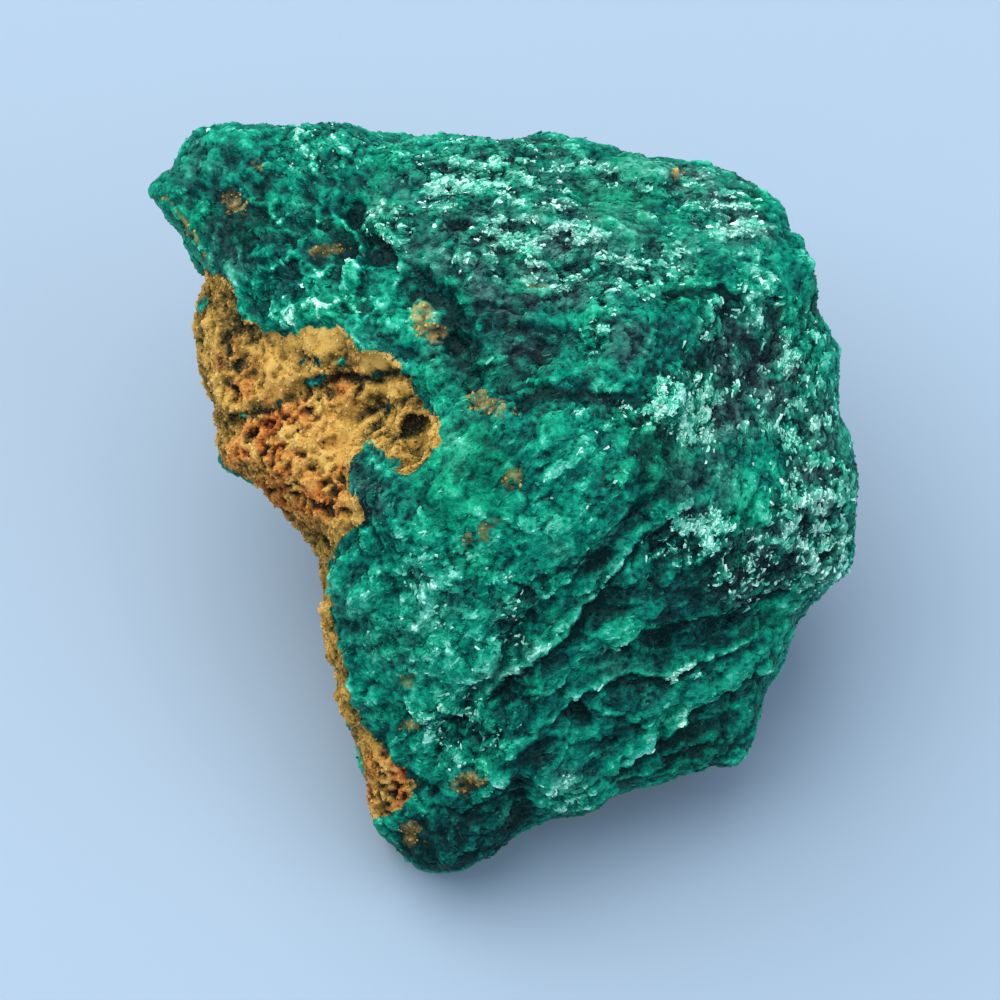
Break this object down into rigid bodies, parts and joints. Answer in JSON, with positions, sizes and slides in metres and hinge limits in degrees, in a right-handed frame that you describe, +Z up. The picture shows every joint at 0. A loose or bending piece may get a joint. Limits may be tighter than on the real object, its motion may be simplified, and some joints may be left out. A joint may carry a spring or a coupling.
{
  "type": "malachite specimen",
  "caption": "Rough lump of green malachite with a granular crystal crust over rusty limonite matrix, broken flat underneath so that it rests on a table.",
  "frame": {"origin": "centre of the lump's footprint bounds, on the flat underside", "axes": "+Z up from the surface it rests on; the show face looks up and towards -Y; +X to the right of someone facing it"},
  "size_m": [0.06, 0.0583, 0.0413],
  "materials": {
    "malachite": "satin"
  },
  "bodies": {
    "root": {"malachite_specimen": "malachite"}
  },
  "joints": []
}
